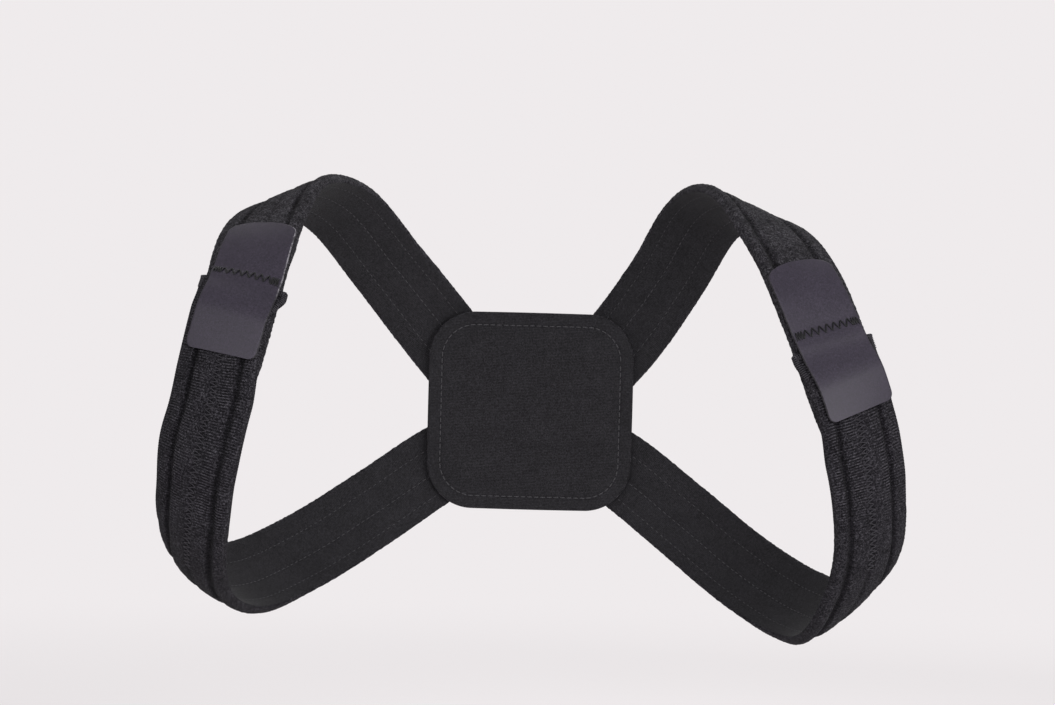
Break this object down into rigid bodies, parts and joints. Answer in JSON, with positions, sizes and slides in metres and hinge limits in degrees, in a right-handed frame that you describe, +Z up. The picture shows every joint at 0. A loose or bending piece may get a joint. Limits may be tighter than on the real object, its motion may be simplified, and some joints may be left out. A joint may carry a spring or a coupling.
{
  "type": "clavicle brace",
  "caption": "Figure-of-eight clavicle brace: padded ribbed straps loop over each shoulder and under the arm, held by hook tabs in front and joined by a plain pad at the back.",
  "frame": {"origin": "midway between the tops of the wearer's two shoulders, at the height where the shoulder straps rest", "axes": "+Z up, the wearer faces -Y, +X towards the wearer's left"},
  "size_m": [0.3926, 0.2046, 0.249],
  "materials": {
    "ribbed_knit": "black padded rib knit, matt, with a brushed loop face over the shoulders",
    "tab_tape": "charcoal satin woven tape, the smooth back of a hook tape",
    "pad_cloth": "black matt brushed knit over foam"
  },
  "bodies": {
    "root": {"right_shoulder_strap": "ribbed_knit", "right_underarm_strap": "ribbed_knit", "right_hook_tab": "tab_tape", "left_shoulder_strap": "ribbed_knit", "left_underarm_strap": "ribbed_knit", "left_hook_tab": "tab_tape", "back_pad": "pad_cloth"}
  },
  "joints": []
}
